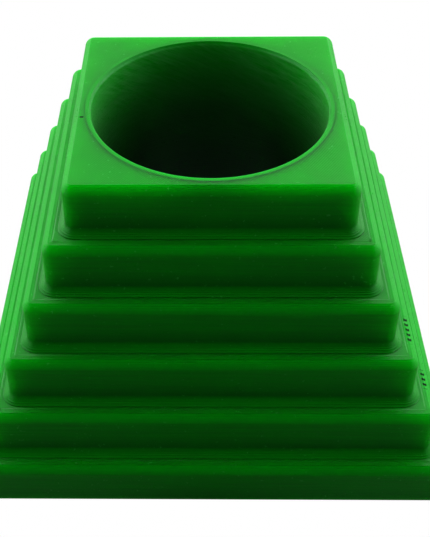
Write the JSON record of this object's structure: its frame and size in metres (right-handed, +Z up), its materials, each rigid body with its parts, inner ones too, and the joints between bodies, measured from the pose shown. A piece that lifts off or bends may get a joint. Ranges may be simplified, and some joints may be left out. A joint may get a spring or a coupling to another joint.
{
  "type": "mounting block",
  "caption": "Stepped square plinth of stacked plastic tiers with rounded edges and a coved foot on each riser, round a deep vertical socket open at top and bottom.",
  "frame": {"origin": "centre of the block, on the surface that its feet stand on", "axes": "+Z up along the socket's axis, +X to the right and -Y towards the viewer of the picture"},
  "size_m": [0.1106, 0.1106, 0.075],
  "materials": {
    "green_plastic": "glossy green print with fine layer lines",
    "sleeve_plastic": "glossy green print with fine layer lines",
    "insert_brass": "turned, bare",
    "screw_steel": "zinc plated",
    "washer_steel": "zinc plated",
    "foot_rubber": "matt black"
  },
  "bodies": {
    "root": {"top_tier": "green_plastic", "tier_2": "green_plastic", "tier_3": "green_plastic", "tier_4": "green_plastic", "tier_5": "green_plastic", "base_tier": "green_plastic", "socket_sleeve": "sleeve_plastic", "threaded_inserts": "insert_brass", "tie_screws": "screw_steel", "tie_washers": "washer_steel", "foot_front_left": "foot_rubber", "foot_front_right": "foot_rubber", "foot_back_left": "foot_rubber", "foot_back_right": "foot_rubber"}
  },
  "joints": []
}
